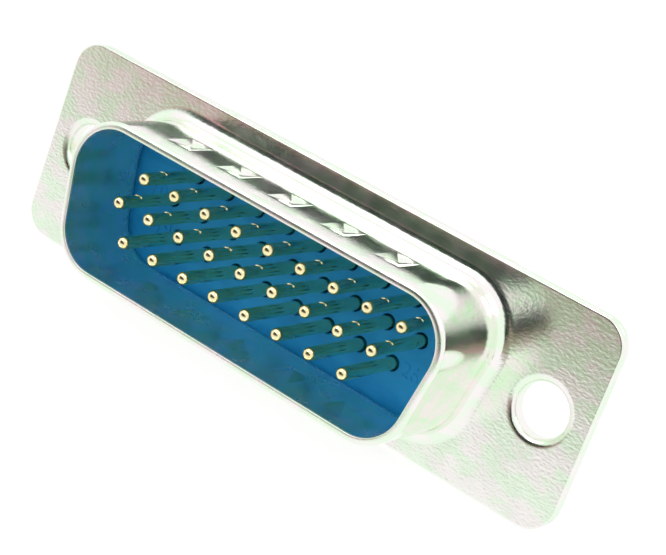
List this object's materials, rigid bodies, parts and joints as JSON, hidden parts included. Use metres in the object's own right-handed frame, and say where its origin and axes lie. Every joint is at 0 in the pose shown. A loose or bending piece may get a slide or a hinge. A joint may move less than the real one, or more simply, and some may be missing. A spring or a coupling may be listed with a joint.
{
  "type": "d-sub connector",
  "caption": "High-density D-shaped plug connector with plated steel shell, flange with screw holes, blue insulator, gold pins and solder cups.",
  "frame": {"origin": "midway between the two mounting holes, on the front face of the flange", "axes": "+X along the connector to the right as seen from the mating side, -Y out of the mating side, +Z towards the wide side of the D"},
  "size_m": [0.0392, 0.0171, 0.0126],
  "materials": {
    "plated_steel": "bright plated pressed steel, satin on the flange",
    "blue_plastic": "glossy moulded",
    "gold_contact": "polished gold plating"
  },
  "bodies": {
    "root": {"front_shell": "plated_steel", "rear_shell": "plated_steel", "front_insulator": "blue_plastic", "rear_insulator": "blue_plastic", "contact_01": "gold_contact", "contact_02": "gold_contact", "contact_03": "gold_contact", "contact_04": "gold_contact", "contact_05": "gold_contact", "contact_06": "gold_contact", "contact_07": "gold_contact", "contact_08": "gold_contact", "contact_09": "gold_contact", "contact_10": "gold_contact", "contact_11": "gold_contact", "contact_12": "gold_contact", "contact_13": "gold_contact", "contact_14": "gold_contact", "contact_15": "gold_contact", "contact_16": "gold_contact", "contact_17": "gold_contact", "contact_18": "gold_contact", "contact_19": "gold_contact", "contact_20": "gold_contact", "contact_21": "gold_contact", "contact_22": "gold_contact", "contact_23": "gold_contact", "contact_24": "gold_contact", "contact_25": "gold_contact", "contact_26": "gold_contact"}
  },
  "joints": []
}
